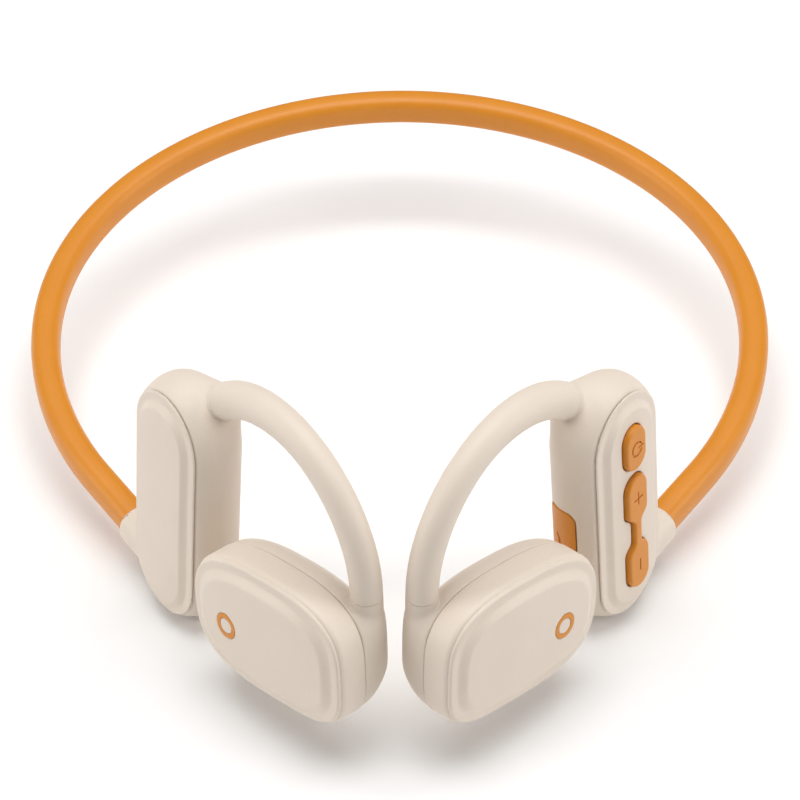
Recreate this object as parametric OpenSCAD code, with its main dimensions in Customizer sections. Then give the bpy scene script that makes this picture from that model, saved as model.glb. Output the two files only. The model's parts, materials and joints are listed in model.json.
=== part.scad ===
// Neckband bone conduction headphones: a sprung neck band joins two pods that sit
// behind the ears, and each pod carries an ear hook with a speaker at its end.
// Wearer's left is +X, the front is -Y, up is +Z. The origin is on the ground
// plane, under the middle of the overall length and width.

/* [Neck band] */
// Half the band's widest span, to its centreline
band_half_width = 67.7; // [64:0.1:72]
// Depth of the band's rear half ellipse
band_rear_depth = 62.3; // [58:0.1:68]
// Depth of the band's front half ellipse
band_front_depth = 66; // [62:0.1:72]
// Length of the straight ends that enter the pods
band_tail = 12.5; // [10:0.1:16]
// Upward tilt of the band's plane towards the back, in degrees
band_tilt = 8; // [4:0.5:10]
// Thickness of the band across its bend
band_thick = 5.5; // [5:0.1:6]
// Height of the band's section
band_tall = 6.4; // [5.8:0.1:6.8]

/* [Pods] */
// Width of each pod
pod_w = 18.4; // [18.2:0.1:20]
// Height of each pod
pod_h = 46.6; // [45.6:0.1:48]
// Depth of the pod's shell behind its cover seam
pod_depth = 11; // [10.8:0.1:11.6]
// How far the shell's sides swell out past the seam
pod_bulge = 1.6; // [1:0.1:2]
// Radius round the pod's inner edge
pod_edge = 6; // [5.8:0.1:6.4]
// Angle of each pod's face from straight sideways, in degrees
pod_yaw = 36.8; // [34:0.2:39]
// Inward lean of each pod's top, in degrees
pod_lean = 4.7; // [3:0.1:6]
// Length of the collar between a pod and the band
collar_len = 7; // [6:0.1:8]

/* [Ear hooks] */
// Angle of each hook's plane from straight sideways, in degrees
hook_yaw = 38.1; // [36:0.1:40]
// Bend radius over the back of the ear
hook_rear_radius = 25.5; // [25:0.25:28]
// Bend radius over the front of the ear
hook_front_radius = 21.75; // [21:0.25:23]
// Forward reach from the root to the hook's highest point
hook_reach = 20.5; // [19:0.25:21]
// Straight drop at the hook's front end
hook_drop = 0.5; // [0.3:0.1:3]
// Radius of the hook at its root
hook_root_r = 3.2; // [3.1:0.05:3.4]
// Radius of the hook at its speaker end
hook_end_r = 2.75; // [2.7:0.05:3]

/* [Speakers] */
// Length of each speaker's outline
speaker_len = 36; // [35:0.5:38]
// Height of each speaker's outline
speaker_tall = 24.6; // [24:0.1:26]
// Squareness of the outline, where 2 is an ellipse
speaker_square = 2.77; // [2.5:0.01:3]
// Depth of the speaker behind its face seam
speaker_depth = 12; // [11.8:0.1:12.6]
// Angle of each speaker's face from straight sideways, in degrees
speaker_yaw = 45; // [43:0.5:47]
// Inward lean of each speaker's top, in degrees
speaker_lean = 5; // [3:0.5:7]
// Downward slope of the outline's rear end, in degrees
speaker_droop = 7; // [5:0.5:9]

/* [Buttons] */
// Width of the power button and the volume rocker
button_w = 5.7; // [5.4:0.1:6]
// Height of the power button
power_h = 8.8; // [8.4:0.1:9]
// Height of the volume rocker
rocker_h = 24.4; // [23:0.1:24.6]
// How far the buttons stand above the pod's cover
button_proud = 0.8; // [0.6:0.1:1]

/* [Walls and fits] */
// Wall of the moulded shells
wall = 1.2; // [1:0.1:1.3]
// Gap round each moving button
button_gap = 0.15; // [0.12:0.01:0.2]
// Gap where two moulded parts meet
seam_gap = 0.02; // [0.02:0.01:0.04]
// Radius of the wiring channel inside the band and the hooks
channel_r = 1.45; // [1.4:0.01:1.5]
// Radius of the sprung wires and of the cables
wire_r = 0.5; // [0.4:0.02:0.52]
// Distance of the wires and cables from the channel's centre
wire_offset = 0.7; // [0.65:0.01:0.72]

/* [Hidden] */

$fn = 48;
eps = 0.01;
section_sides = 12;
wire_sides = 6;
outline_sides = 44;
beige = [0.86, 0.79, 0.72];
orange = [0.87, 0.54, 0.2];
steel = [0.7, 0.71, 0.73];
dark = [0.2, 0.2, 0.22];
copper = [0.72, 0.45, 0.2];
board_green = [0.1, 0.35, 0.2];

// ---------- turning and placing points ----------
function turn_x(p, a) = [p.x, p.y * cos(a) - p.z * sin(a), p.y * sin(a) + p.z * cos(a)];
function turn_y(p, a) = [p.x * cos(a) + p.z * sin(a), p.y, p.z * cos(a) - p.x * sin(a)];
function turn_z(p, a) = [p.x * cos(a) - p.y * sin(a), p.x * sin(a) + p.y * cos(a), p.z];
function unit(v) = v / norm(v);

// ---------- the chain of places: band, pod, hook, speaker ----------
// The band's path in its own plane runs from the right tail, round the back, to
// the left tail. Its angle is 0 at the back and band_end_angle at a tail.
tail_yaw = atan(tan(pod_yaw) * cos(band_tilt));
band_end_angle = 90 + atan(band_front_depth / band_half_width * tan(tail_yaw));
band_arc_end = [band_half_width * sin(band_end_angle),
    band_front_depth * cos(band_end_angle)];
tail_way = [-sin(tail_yaw), -cos(tail_yaw)];
band_tail_end = band_arc_end + band_tail * tail_way;

function on_band_plane(q) =
    [q.x, (q.y - band_tail_end.y) * cos(band_tilt), (q.y - band_tail_end.y) * sin(band_tilt)];
band_end = on_band_plane(band_tail_end);
tail_in = [tail_way.x, tail_way.y * cos(band_tilt), tail_way.y * sin(band_tilt)];
band_down = [0, sin(band_tilt), -cos(band_tilt)];

// A pod's own frame: X towards its rear edge, Y into the head, Z up, with the
// cover seam on Y = 0 and the origin at the seam's centre.
function pod_turn(p) = turn_z(turn_x(p, -pod_lean), 90 - pod_yaw);
collar_seat = [pod_w / 2 - 0.4, 3.8, -pod_h / 2 + 6];
pod_at = band_end + collar_len * tail_in - pod_turn(collar_seat);
pod_ends = pod_h / 2 - pod_w / 2;

// A hook lies in an upright plane, X towards the back and Z up, from its root.
hook_root_in_pod = [-2.8, pod_depth / 2 + 2.4, pod_h / 2 - 3.8];
hook_at = pod_at + pod_turn(hook_root_in_pod);
hook_root_angle = asin(hook_reach / hook_rear_radius);
hook_rise = hook_rear_radius * (1 - cos(hook_root_angle));
hook_end_local = [-hook_reach - hook_front_radius, 0,
    hook_rise - hook_front_radius - hook_drop];
hook_end = hook_at + turn_z(hook_end_local, 90 - hook_yaw);

// A speaker's own frame: as a pod's, with the face seam on Y = 0.
function speaker_turn(p) =
    turn_z(turn_x(turn_y(p, speaker_droop), -speaker_lean), 90 - speaker_yaw);
stem_in_speaker = [-14.87, 9.41, 10.88];
speaker_at = hook_end - speaker_turn(stem_in_speaker);

// Overall box, for the origin under its middle
pod_lowest = pod_at.z - (pod_h / 2 + pod_bulge - pod_edge) * cos(pod_lean)
    - (pod_depth - pod_edge) * sin(pod_lean) - pod_edge;
band_back = on_band_plane([0, band_rear_depth]).y
    + band_thick / 2 * cos(band_tilt);
speaker_front = min([for (y = [0, 1, 6.5], p = oval(0))
    (speaker_at + speaker_turn([p.x, y, p.y])).y]);
base = [0, -(band_back + speaker_front) / 2, -pod_lowest];

module placed() translate(base) children();
module in_pod() placed() translate(pod_at) rotate([0, 0, 90 - pod_yaw])
    rotate([-pod_lean, 0, 0]) children();
module in_hook() placed() translate(hook_at) rotate([0, 0, 90 - hook_yaw]) children();
module in_speaker() placed() translate(speaker_at) rotate([0, 0, 90 - speaker_yaw])
    rotate([-speaker_lean, 0, 0]) rotate([0, speaker_droop, 0]) children();
module other_side() mirror([1, 0, 0]) children();
// Turns a shape built along +Z to lie along a direction, from a point
module along(from, way) translate(from)
    rotate([0, acos(way.z / norm(way)), atan2(way.y, way.x)]) children();
// Turns a shape drawn in X and Y, built up +Z, so that it rises along +Y from y
module rising(y) translate([0, y, 0]) rotate([-90, 0, 0]) mirror([0, 1, 0]) children();

// ---------- outlines ----------
// Stadium outline of a pod, drawn inset, as [x, z] points
function stadium(inset, n = outline_sides) = [for (i = [0 : n - 1])
    let (a = (i + 0.5) * 360 / n, r = pod_w / 2 - inset)
    [r * cos(a), r * sin(a) + (a < 180 ? pod_ends : -pod_ends)]];
// Superellipse outline of a speaker, drawn inset, as [x, z] points
function oval(inset, n = outline_sides) = [for (i = [0 : n - 1])
    let (a = (i + 0.5) * 360 / n, k = 2 / speaker_square)
    [(speaker_len / 2 - inset) * sign(cos(a)) * pow(abs(cos(a)), k),
     (speaker_tall / 2 - inset) * sign(sin(a)) * pow(abs(sin(a)), k)]];

// ---------- lofted solids ----------
// Joins rings of equal length into a closed solid. A loop also joins the last
// ring to the first; otherwise each end is closed flat.
module loft(rings, loop = false) {
    n = len(rings[0]);
    m = len(rings);
    sides = [for (i = [0 : m - (loop ? 1 : 2)], j = [0 : n - 1], half = [0, 1])
        let (a = i * n + j, b = i * n + (j + 1) % n,
            c = ((i + 1) % m) * n + (j + 1) % n, d = ((i + 1) % m) * n + j)
        half == 0 ? [a, b, c] : [a, c, d]];
    caps = loop ? [] : [[for (j = [n - 1 : -1 : 0]) j],
        [for (j = [0 : n - 1]) (m - 1) * n + j]];
    polyhedron([for (r = rings) each r], concat(sides, caps), convexity = 6);
}
function backwards(list) = [for (i = [len(list) - 1 : -1 : 0]) list[i]];
// A moulded shell: each [inset, y] pair of the profile is one ring of an outline.
// The profile starts inside. A tub opens towards -Y and a lid towards +Y.
module shell(profile, round_oval = false, lid = false) {
    rings = [for (p = profile)
        [for (q = round_oval ? oval(p[0]) : stadium(p[0])) [q.x, p[1], q.y]]];
    loft(lid ? [for (r = rings) backwards(r)] : rings);
}
// One ring of a swept tube about a point, with its sideways and upright radii
function ring(at, side, up, rs, ru, n = section_sides, square = 2) =
    [for (i = [0 : n - 1])
        let (a = i * 360 / n, k = 2 / square)
        at + rs * sign(cos(a)) * pow(abs(cos(a)), k) * side
            + ru * sign(sin(a)) * pow(abs(sin(a)), k) * up];

// ---------- band path ----------
band_steps = 42;
band_angles = [for (i = [0 : band_steps]) (2 * i / band_steps - 1) * band_end_angle];
function band_depth(a) = abs(a) <= 90 ? band_rear_depth : band_front_depth;
function band_point(a) =
    on_band_plane([band_half_width * sin(a), band_depth(a) * cos(a)]);
function band_side(a) =
    let (t = [band_half_width * cos(a), -band_depth(a) * sin(a)])
    unit([-t.y, t.x * cos(band_tilt), t.x * sin(band_tilt)]);
tail_side = band_side(band_end_angle);
function flip_x(p) = [-p.x, p.y, p.z];
// [point, side] stations, with the tails carried on inwards by extra
function band_stations(extra) = concat(
    [[flip_x(band_end + extra * tail_in), flip_x(-tail_side) * -1]],
    [for (a = band_angles) [band_point(a), band_side(a)]],
    [[band_end + extra * tail_in, tail_side]]);

// ---------- hook path ----------
hook_steps = 6;
// Stations [point, side, share] in the hook's frame; share is 0 at the root
hook_arc = concat(
    [for (i = [0 : hook_steps]) let (a = hook_root_angle * (1 - i / hook_steps))
        [[-hook_reach + hook_rear_radius * sin(a), 0,
            hook_rise - hook_rear_radius * (1 - cos(a))], a, 0.35 * i / hook_steps]],
    [for (i = [1 : 2 * hook_steps]) let (a = -90 * i / (2 * hook_steps))
        [[-hook_reach + hook_front_radius * sin(a), 0,
            hook_rise - hook_front_radius * (1 - cos(a))], a,
            0.35 + 0.6 * i / (2 * hook_steps)]],
    [[hook_end_local, -90, 1]]);
function hook_side(a) = [sin(a), 0, cos(a)];
function hook_along(a) = [-cos(a), 0, sin(a)];
hook_up = [0, -1, 0];
function hook_r(share) = hook_root_r + (hook_end_r - hook_root_r) * share;
root_way = hook_along(hook_root_angle);

// ---------- sizes shared between parts ----------
plug_len = 5;
hook_plug_r = 2.4;
stem_plug_r = 2;
plug_gap = 0.05;
band_plug_r = 1.85;
cover_crown = 1.8;
cover_ceiling = 0.3;
lip_inset = wall + 0.15;
lip_deep = 2;
board_y = 2.4;
board_t = 0.8;
button_x = -0.3;
power_z = 13.4;
rocker_z = -4.8;
rocker_pin_r = 0.7;
rocker_pin_y = 0.9;
rocker_pin_gap = 0.05;
switch_z = [power_z, rocker_z + 6.5, rocker_z - 6.5];
post_z = [9.8, -15.4];
port_z = -4.3;
port_turn = 20;
port_cover_span = 34;
port_cover_h = 13.2;
port_len = 6.5;
spring_y = 7.4;

// ---------- neck band ----------
module neck_band() {
    outer = band_stations(0);
    inner = band_stations(plug_len);
    last = len(outer) - 1;
    plug_r = band_plug_r - plug_gap;
    plug = function (s) ring(s[0], s[1], band_down, plug_r, plug_r);
    skin = [for (s = outer)
        ring(s[0], s[1], band_down, band_thick / 2, band_tall / 2, square = 2.8)];
    bore = [for (i = [last : -1 : 0])
        ring(inner[i][0], inner[i][1], band_down, channel_r, channel_r)];
    color(orange) placed()
        loft(concat([plug(inner[0]), plug(outer[0])], skin,
            [plug(outer[last]), plug(inner[last])], bore), true);
}
// A wire along the band, offset upright by shift
module band_line(shift, colour) {
    color(colour) placed() loft([for (s = band_stations(collar_len + 1))
        ring(s[0] - shift * band_down, s[1], band_down, wire_r, wire_r, wire_sides)]);
}
module band_spring_wire() band_line(wire_offset, steel);
module band_cable() band_line(-wire_offset, dark);

// ---------- pods ----------
// Shell common to both pods: rounded tub with the band collar and the hook boss
module pod_tub() {
    arc_y = pod_depth - pod_edge;
    in_r = pod_edge - wall;
    tub = concat(
        [for (a = [90 : -15 : 0])
            [pod_edge - pod_bulge - in_r * cos(a), arc_y + in_r * sin(a)]],
        [[wall - 0.7 * pod_bulge, 3.4], [wall, lip_deep + 0.1], [wall, 0], [0, 0],
            [-0.5 * pod_bulge, 1.2], [-0.85 * pod_bulge, 2.8]],
        [for (a = [0 : 15 : 90])
            [pod_edge - pod_bulge - pod_edge * cos(a), arc_y + pod_edge * sin(a)]]);
    boss_len = 7;
    collar_out = 2.5;
    hook_clearance = 0.3;
    difference() {
        union() {
            shell(tub);
            pod_frame_hook() along(-boss_len * root_way, root_way)
                cylinder(h = boss_len + collar_out, r1 = 3.05, r2 = 4.3);
            pod_frame_collar() translate([0, 0, -0.9 * wall])
                cylinder(h = collar_len + 0.9 * wall, r1 = 3.7, r2 = 3.55);
        }
        // Keeps the collar's inner end out of the space for the cover, seal and board
        rising(-0.5) linear_extrude(4) polygon(stadium(wall + eps));
        pod_frame_hook() {
            along(-(plug_len + 0.1) * root_way, root_way)
                cylinder(h = plug_len + 1, r = hook_plug_r + plug_gap);
            along(-(boss_len + 1) * root_way, root_way)
                cylinder(h = boss_len, r = channel_r + 0.1);
            // Room for the hook's tube past its plug, wider where the tube bends
            along([0, 0, 0], root_way)
                cylinder(h = collar_out + 1, r = hook_root_r + hook_clearance);
            along((collar_out - 0.3) * root_way, root_way)
                cylinder(h = 7, r = hook_root_r + 1.3);
        }
        pod_frame_collar() {
            translate([0, 0, collar_len - plug_len - 0.1])
                cylinder(h = plug_len + 1, r = band_plug_r);
            translate([0, 0, -3]) cylinder(h = collar_len, r = channel_r + 0.1);
        }
    }
}
// The upright hook frame and the collar's axis, seen from the pod's frame
module pod_frame_hook() translate(hook_root_in_pod) rotate([pod_lean, 0, 0])
    rotate([0, 0, pod_yaw - hook_yaw]) children();
module pod_frame_collar() {
    out = turn_x(turn_z(-tail_in, pod_yaw - 90), pod_lean);
    along(collar_seat, out) children();
}
// Cover common to both pods: crowned plate with a seal groove round its lip
module pod_lid() {
    shell([[2.3, -cover_ceiling], [2.3, lip_deep], [lip_inset, lip_deep],
        [lip_inset, 1.4], [1.8, 1.4], [1.8, 0.8], [lip_inset, 0.8],
        [lip_inset, -seam_gap], [0.05, -seam_gap], [0.05, -0.25], [0.3, -0.42],
        [1.7, -0.5], [2.2, -0.9], [2.8, -1.4], [4.2, -1.65], [6.5, -cover_crown]],
        lid = true);
}
module lid_seal() {
    color(dark) rising(0.85) linear_extrude(0.5) difference() {
        polygon(stadium(wall + 0.02));
        polygon(stadium(1.78));
    }
}
module screw_post(z) translate([0, 0, z]) rising(board_y + board_t + seam_gap)
    cylinder(h = pod_depth - wall - board_y - board_t, r = 1.8);

module control_pod_shell() {
    color(beige) in_pod() difference() {
        union() {
            pod_tub();
            for (z = post_z) screw_post(z);
        }
        for (z = post_z) translate([0, 0, z]) rising(board_y)
            cylinder(h = 4.2, r = 0.72);
        port_frame() port_sector(pod_edge - 1.15, pod_edge + 2,
            port_cover_span + 1.5, port_cover_h + 0.3);
        port_frame() port_slot(0.15, 4);
        // Sound hole of the microphone
        translate([0, board_y + board_t + 0.5, -pod_h / 2 - pod_bulge - 1])
            cylinder(h = 5, r = 0.5);
    }
}
// Frame of the charging port: Z up on the corner arc's axis, -X out of the port
module port_frame()
    translate([-pod_w / 2 - pod_bulge + pod_edge, pod_depth - pod_edge, port_z])
    rotate([0, 0, -port_turn]) children();
module port_sector(r0, r1, span, h) rotate([0, 0, 180 - span])
    translate([0, 0, -h / 2]) rotate_extrude(angle = 2 * span)
        translate([r0, 0]) square([r1 - r0, h]);
// Rounded slot of a charging socket along X, grown by grow
module port_slot(grow, length, start = -pod_edge) translate([start, 0, 0])
    rotate([0, 90, 0]) linear_extrude(length) {
        square([5.4, 3.6 + 2 * grow], center = true);
        for (s = [-1, 1]) translate([s * 2.7, 0]) circle(r = 1.8 + grow);
    }
module control_pod_cover() {
    ear_x = 3.7;
    color(beige) in_pod() difference() {
        union() {
            pod_lid();
            for (s = [-1, 1]) translate([button_x + s * ear_x, 0.75, rocker_z])
                cube([1.2, 2.3, 2.6], center = true);
        }
        translate([button_x, 0, power_z]) rising(-4)
            linear_extrude(4) oval_button(button_w, power_h, button_gap);
        translate([button_x, 0, rocker_z]) rising(-4)
            linear_extrude(4) rocker_outline(button_gap);
        translate([button_x, rocker_pin_y, rocker_z]) rotate([0, 90, 0])
            cylinder(h = 12, r = rocker_pin_r + rocker_pin_gap, center = true);
    }
}
module control_cover_seal() in_pod() lid_seal();

module battery_pod_shell() color(beige) other_side() in_pod() pod_tub();
module battery_pod_cover() color(beige) other_side() in_pod() pod_lid();
module battery_cover_seal() other_side() in_pod() lid_seal();

// ---------- buttons ----------
module oval_button(w, h, grow) {
    square([w + 2 * grow, h - w], center = true);
    for (s = [-1, 1]) translate([0, s * (h - w) / 2]) circle(r = w / 2 + grow);
}
// Two lobes with a thin waist between them
module rocker_outline(grow) {
    lobe_h = 9.6;
    square([1.9 + 2 * grow, 6], center = true);
    for (s = [-1, 1]) translate([0, s * (rocker_h - lobe_h) / 2])
        oval_button(button_w, lobe_h, grow);
}
module power_button() {
    flange_y = -cover_ceiling + 0.1;
    color(orange) in_pod() translate([button_x, 0, power_z]) difference() {
        union() {
            rising(-cover_crown - button_proud)
                linear_extrude(cover_crown + button_proud + flange_y + 0.2)
                    oval_button(button_w, power_h, 0);
            rising(flange_y) linear_extrude(0.5) oval_button(button_w, power_h, 0.6);
            rising(0.25) cylinder(h = 0.25, r = 1);
        }
        // Ring of the power mark, open at the top, and its short bar
        rising(-cover_crown - button_proud - 1) linear_extrude(1.15) power_mark();
    }
}
module power_mark() {
    difference() {
        circle(r = 1.5);
        circle(r = 1.15);
        translate([0, 1.4]) square([1.1, 1.4], center = true);
    }
    translate([0, 1.2]) square([0.35, 1.5], center = true);
}
module volume_rocker() {
    plate_y = 0.15;
    mark_z = (rocker_h - 9.6) / 2;
    color(orange) in_pod() translate([button_x, 0, rocker_z]) difference() {
        union() {
            rising(-cover_crown - button_proud)
                linear_extrude(cover_crown + button_proud + plate_y + 0.2)
                    rocker_outline(0);
            for (s = [-1, 1]) translate([0, 0, s * mark_z]) {
                rising(plate_y) linear_extrude(0.45) oval_button(button_w, 9.6, 0.5);
                rising(plate_y + 0.4) cylinder(h = 0.2, r = 1);
            }
            rising(plate_y) linear_extrude(0.45) square([1.9, 6], center = true);
            translate([0, rocker_pin_y, 0]) rotate([0, 90, 0])
                cylinder(h = 8.4, r = rocker_pin_r, center = true);
        }
        rising(-cover_crown - button_proud - 1) linear_extrude(1.15) {
            for (s = [-1, 1]) translate([0, s * mark_z])
                square([0.35, 2.6], center = true);
            translate([0, mark_z]) square([2.6, 0.35], center = true);
        }
    }
}

// ---------- charging port ----------
module charging_port_cover() {
    color(orange) in_pod() port_frame()
        port_sector(pod_edge - 1.05, pod_edge + 0.12, port_cover_span, port_cover_h);
}
module charging_port() {
    color(steel) in_pod() port_frame() difference() {
        port_slot(0, port_len, start = -pod_edge + 1.4);
        port_slot(-0.3, port_len - 1, start = -pod_edge + 1.4 - eps);
    }
}

// ---------- control electronics ----------
module control_circuit_board() {
    color(board_green) in_pod() rising(board_y) linear_extrude(board_t) difference() {
        polygon(stadium(1.6));
        for (z = post_z) translate([0, z]) circle(r = 0.95);
        // Notch for the charging port
        translate([-pod_w / 2, port_z - 5]) square([8.2, 10]);
    }
}
module main_chip() color(dark) in_pod()
    translate([-3.5, board_y + board_t + seam_gap, 1]) cube([7, 1, 7]);
module tactile_switches() {
    body_h = 1.05;
    color(steel) in_pod() for (z = switch_z) translate([button_x, 0, z]) {
        rising(board_y - seam_gap - body_h) linear_extrude(body_h)
            square(3, center = true);
        rising(board_y - seam_gap - body_h - 0.28) cylinder(h = 0.3, r = 0.7);
    }
}
module microphone() color(steel) in_pod()
    translate([-1.6, board_y + board_t + seam_gap, -20.2]) cube([3.2, 1, 2.4]);
module circuit_board_screws() {
    color(dark) in_pod() for (z = post_z) translate([0, 0, z]) {
        rising(board_y - 0.82) cylinder(h = 0.8, r = 1.35);
        rising(board_y - 0.1) cylinder(h = 4, r = 0.7);
    }
}

// ---------- battery ----------
module battery_cell() color(steel) other_side() in_pod()
    translate([-6, 3.2, -16]) cube([12, 5, 27]);
module battery_foam_pad() color(dark) other_side() in_pod()
    translate([-5, 8.22, -13]) cube([10, 1.4, 22]);
module battery_protection_board() color(board_green) other_side() in_pod()
    translate([-5, 2.9, 11.2]) cube([10, 0.8, 4.6]);

// ---------- ear hooks ----------
module ear_hook() {
    h_end = hook_end_local;
    root = hook_arc[0];
    tube_plug = function (at, a, r) ring(at, hook_side(a), hook_up, r, r);
    skin = [for (s = hook_arc)
        ring(s[0], hook_side(s[1]), hook_up, hook_r(s[2]), hook_r(s[2]))];
    start_in = root[0] - plug_len * root_way;
    end_in = h_end - [0, 0, plug_len - 1];
    bore = concat([tube_plug(end_in, -90, channel_r)],
        [for (i = [len(hook_arc) - 1 : -1 : 0]) let (s = hook_arc[i])
            tube_plug(s[0], s[1], channel_r)],
        [tube_plug(start_in, root[1], channel_r)]);
    color(beige) in_hook() loft(concat(
        [tube_plug(start_in, root[1], hook_plug_r), tube_plug(root[0], root[1], hook_plug_r)],
        skin,
        [tube_plug(h_end, -90, stem_plug_r), tube_plug(end_in, -90, stem_plug_r)],
        bore), true);
}
// A wire along the hook, offset sideways by shift
module hook_line(shift, colour) {
    ends_in = plug_len + 0.6;
    spots = concat([[hook_arc[0][0] - ends_in * root_way, hook_root_angle]], hook_arc,
        [[hook_end_local - [0, 0, ends_in], -90]]);
    color(colour) in_hook() loft([for (s = spots)
        ring(s[0] + shift * hook_up, hook_side(s[1]), hook_up, wire_r, wire_r, wire_sides)]);
}
module hook_wire() hook_line(wire_offset, steel);
module hook_cable() hook_line(-wire_offset, dark);

// ---------- speakers ----------
back_seam = 6.5;
back_edge = speaker_depth - back_seam - 0.5;
pad_size = [15.6, 11.6];
// The stem's frame is upright, with its top at the hook's end
module speaker_frame_stem() translate(stem_in_speaker) rotate([0, -speaker_droop, 0])
    rotate([speaker_lean, 0, 0]) children();
module speaker_back_shell() {
    y0 = speaker_depth - back_edge;
    tub = concat(
        [for (a = [90 : -18 : 0]) [back_edge - (back_edge - wall) * cos(a) + 0.2,
            y0 + (back_edge - wall) * sin(a)]],
        [[wall + 0.2, back_seam], [0.2, back_seam]],
        [for (a = [0 : 18 : 90]) [back_edge - back_edge * cos(a) + 0.2,
            y0 + back_edge * sin(a)]]);
    stem_len = 19;
    color(beige) in_speaker() difference() {
        union() {
            shell(tub, round_oval = true);
            intersection() {
                speaker_frame_stem() translate([0, 0, -stem_len])
                    cylinder(h = stem_len, r1 = 3, r2 = hook_end_r + 0.02);
                translate([-30, back_seam, -30]) cube([60, 20, 60]);
            }
            // Seat of the suspension spring
            rising(spring_y + 0.32) linear_extrude(0.8) difference() {
                circle(r = 10.9);
                circle(r = 9.3);
            }
        }
        speaker_frame_stem() {
            translate([0, 0, -plug_len + 0.9])
                cylinder(h = plug_len + 1, r = stem_plug_r + plug_gap);
            translate([0, 0, -plug_len - 2.2]) cylinder(h = 6, r = channel_r + 0.1);
            // Room for the hook's tube above the stem
            cylinder(h = 6, r = hook_end_r + 0.3);
        }
        rising(speaker_depth - 2 * wall) linear_extrude(3 * wall)
            rotate(90) oval_button(pad_size.y, pad_size.x, 0.2);
    }
}
module speaker_side_band() {
    color(beige) in_speaker() loft([for (p = [[wall, seam_gap], [0.3, seam_gap], [0, 1],
            [0, 4], [0.2, back_seam - seam_gap], [wall + 0.2, back_seam - seam_gap]])
        [for (q = oval(p[0])) [q.x, p[1], q.y]]], true);
}
module speaker_face() {
    color(beige) in_speaker() difference() {
        union() {
            shell([[3.4, 0.4], [1.3, 0.4], [1.3, 0], [0.32, 0], [0.32, -0.25], [0.6, -0.42],
                [2.6, -0.5], [3.2, -1], [4, -1.45], [6, -1.75], [8, -1.9]],
                round_oval = true, lid = true);
            rising(-0.1) cylinder(h = 1.66, r = 4);
        }
        translate([ring_x, 0, ring_z]) rising(-3) cylinder(h = 1.5, r = 2.5);
    }
}
ring_x = 8.2;
ring_z = -0.8;
module face_ring() color(orange) in_speaker() translate([ring_x, 0, ring_z])
    rising(-2) difference() {
        cylinder(h = 0.48, r = 2.4);
        translate([0, 0, -1]) cylinder(h = 3, r = 1.5);
    }
module transducer_yoke() color(steel) in_speaker() rising(1.6) difference() {
    cylinder(h = 4.4, r = 7.2);
    translate([0, 0, 1.2]) cylinder(h = 4, r = 6);
}
module transducer_magnet() color(dark) in_speaker() rising(2.82) cylinder(h = 2.2, r = 4.2);
module pole_plate() color(steel) in_speaker() rising(5.04) cylinder(h = 0.9, r = 4.2);
module voice_coil() color(copper) in_speaker() rising(3.6) difference() {
    cylinder(h = 3.58, r = 5.6);
    translate([0, 0, -1]) cylinder(h = 6, r = 4.6);
}
module suspension_spring() {
    color(steel) in_speaker() rising(spring_y) linear_extrude(0.3) difference() {
        circle(r = 10.2);
        circle(r = 5.86);
        for (a = [0, 120, 240]) rotate(a) arc_slot(8.2, 9, 95);
        for (a = [60, 180, 300]) rotate(a) arc_slot(6.8, 7.6, 95);
    }
}
module arc_slot(r0, r1, span) polygon(concat(
    [for (i = [0 : 6]) r0 * [cos(span * i / 6), sin(span * i / 6)]],
    [for (i = [6 : -1 : 0]) r1 * [cos(span * i / 6), sin(span * i / 6)]]));
module contact_plate() color(steel) in_speaker() {
    rising(7.2) cylinder(h = 0.8, r = 5.8);
    rising(7.9) cylinder(h = 2.4, r = 2.2);
}
module contact_pad() color(beige) in_speaker() rising(10.32)
    linear_extrude(speaker_depth + 0.8 - 10.32)
        rotate(90) oval_button(pad_size.y, pad_size.x, 0);

neck_band();
band_spring_wire();
band_cable();
control_pod_shell();
control_pod_cover();
control_cover_seal();
power_button();
volume_rocker();
charging_port_cover();
charging_port();
control_circuit_board();
main_chip();
tactile_switches();
microphone();
circuit_board_screws();
battery_pod_shell();
battery_pod_cover();
battery_cover_seal();
battery_cell();
battery_foam_pad();
battery_protection_board();
ear_hook();  // left_ear_hook
hook_wire();  // left_hook_wire
hook_cable();  // left_hook_cable
speaker_back_shell();  // left_speaker_back_shell
speaker_side_band();  // left_speaker_side_band
speaker_face();  // left_speaker_face
face_ring();  // left_face_ring
transducer_yoke();  // left_transducer_yoke
transducer_magnet();  // left_transducer_magnet
pole_plate();  // left_pole_plate
voice_coil();  // left_voice_coil
suspension_spring();  // left_suspension_spring
contact_plate();  // left_contact_plate
contact_pad();  // left_contact_pad
other_side() ear_hook();  // right_ear_hook
other_side() hook_wire();  // right_hook_wire
other_side() hook_cable();  // right_hook_cable
other_side() speaker_back_shell();  // right_speaker_back_shell
other_side() speaker_side_band();  // right_speaker_side_band
other_side() speaker_face();  // right_speaker_face
other_side() face_ring();  // right_face_ring
other_side() transducer_yoke();  // right_transducer_yoke
other_side() transducer_magnet();  // right_transducer_magnet
other_side() pole_plate();  // right_pole_plate
other_side() voice_coil();  // right_voice_coil
other_side() suspension_spring();  // right_suspension_spring
other_side() contact_plate();  // right_contact_plate
other_side() contact_pad();  // right_contact_pad
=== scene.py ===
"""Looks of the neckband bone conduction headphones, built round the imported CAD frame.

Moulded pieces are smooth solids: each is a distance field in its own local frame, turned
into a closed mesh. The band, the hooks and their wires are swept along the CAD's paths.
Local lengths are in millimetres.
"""

import json
import math

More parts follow.
